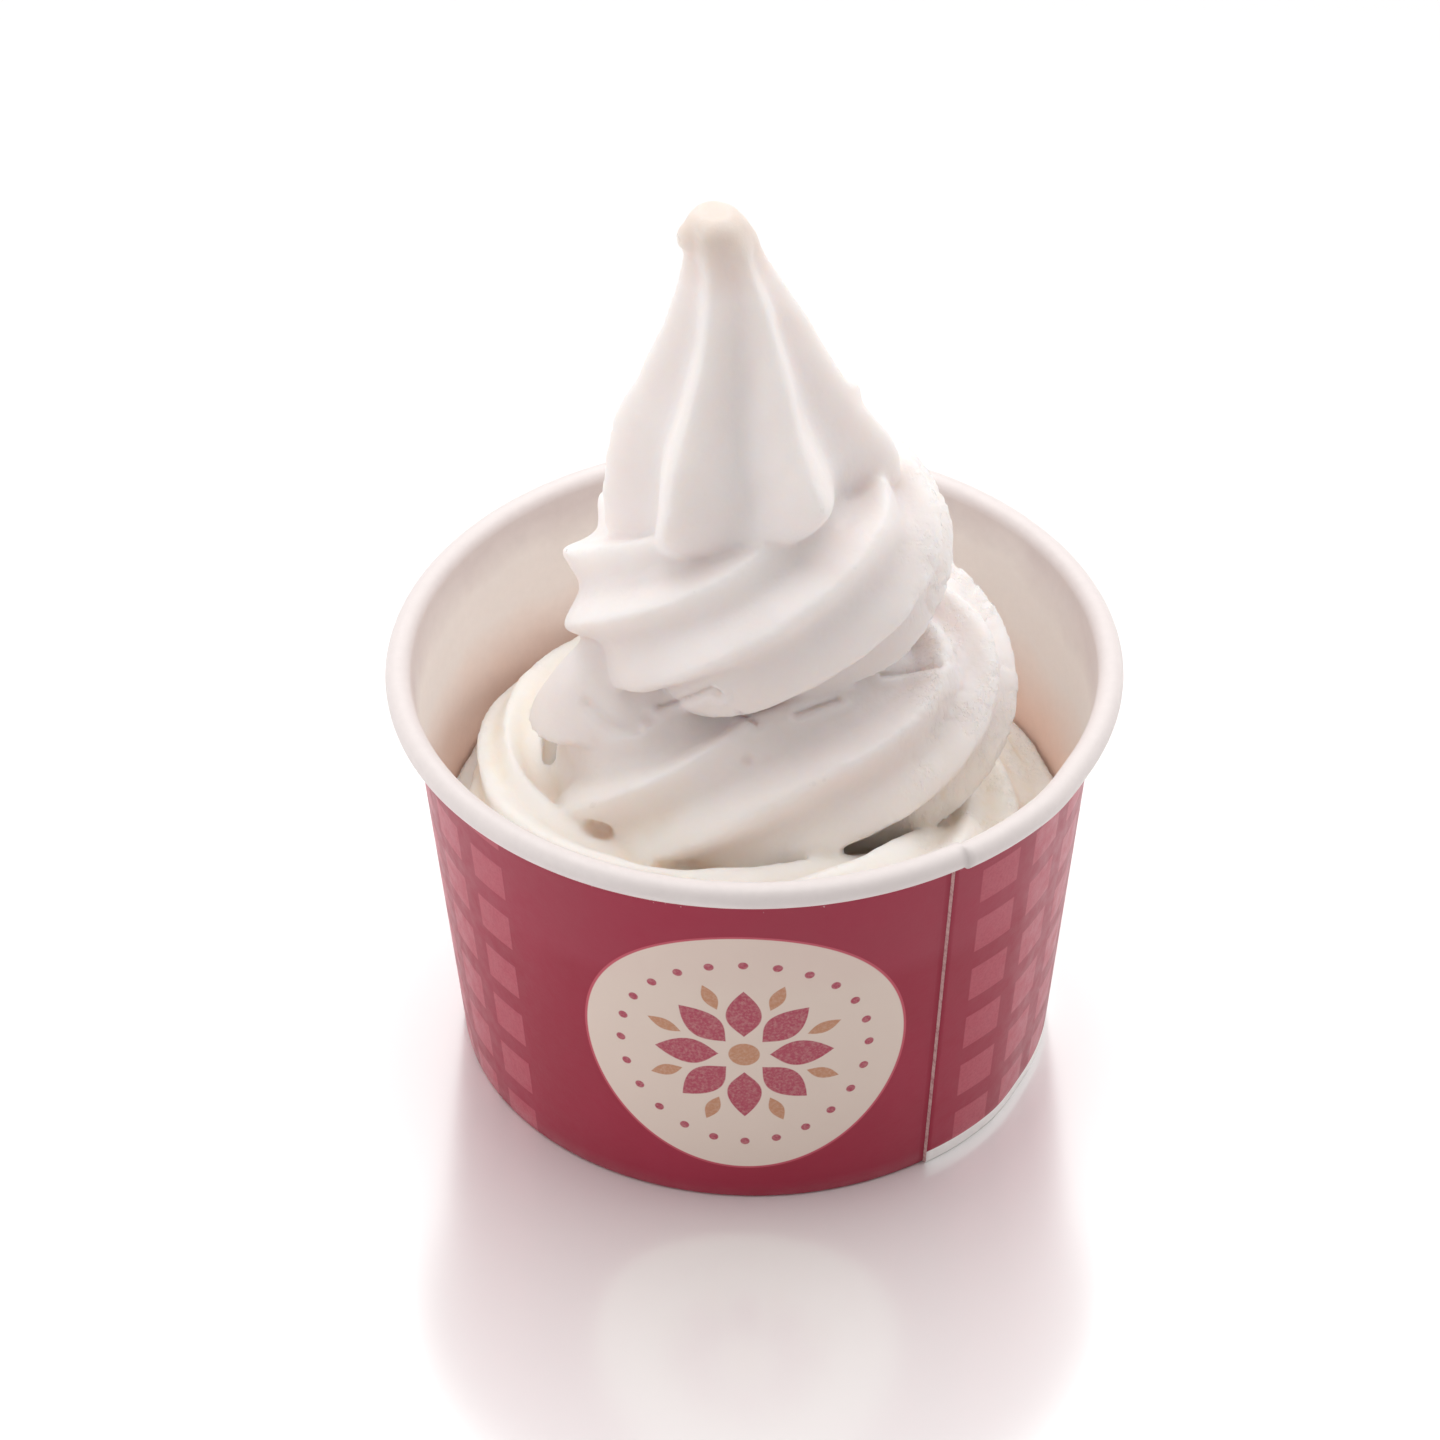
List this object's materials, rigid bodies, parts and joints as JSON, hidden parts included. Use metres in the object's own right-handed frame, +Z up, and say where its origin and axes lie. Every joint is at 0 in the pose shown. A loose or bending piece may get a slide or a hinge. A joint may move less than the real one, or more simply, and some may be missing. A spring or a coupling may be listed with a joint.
{
  "type": "frozen yogurt cup",
  "caption": "Tapered paper cup with a rolled rim and a lapped side seam, filled with soft-serve frozen yogurt piped as a ridged strand that coils up to a drawn-out, leaning peak.",
  "frame": {"origin": "centre of the cup's foot, on the surface that it stands on", "axes": "+Z up along the cup's axis, -Y out of the medallion on the cup's front, +X to the right of it"},
  "size_m": [0.095, 0.095, 0.129],
  "materials": {
    "printed_board": "smooth coated board, crimson print outside, white rim and inside",
    "white_board": "smooth coated board",
    "yogurt": "creamy and moist, softly translucent"
  },
  "bodies": {
    "root": {"cup_sidewall": "printed_board", "cup_base": "white_board", "frozen_yogurt": "yogurt"}
  },
  "joints": []
}
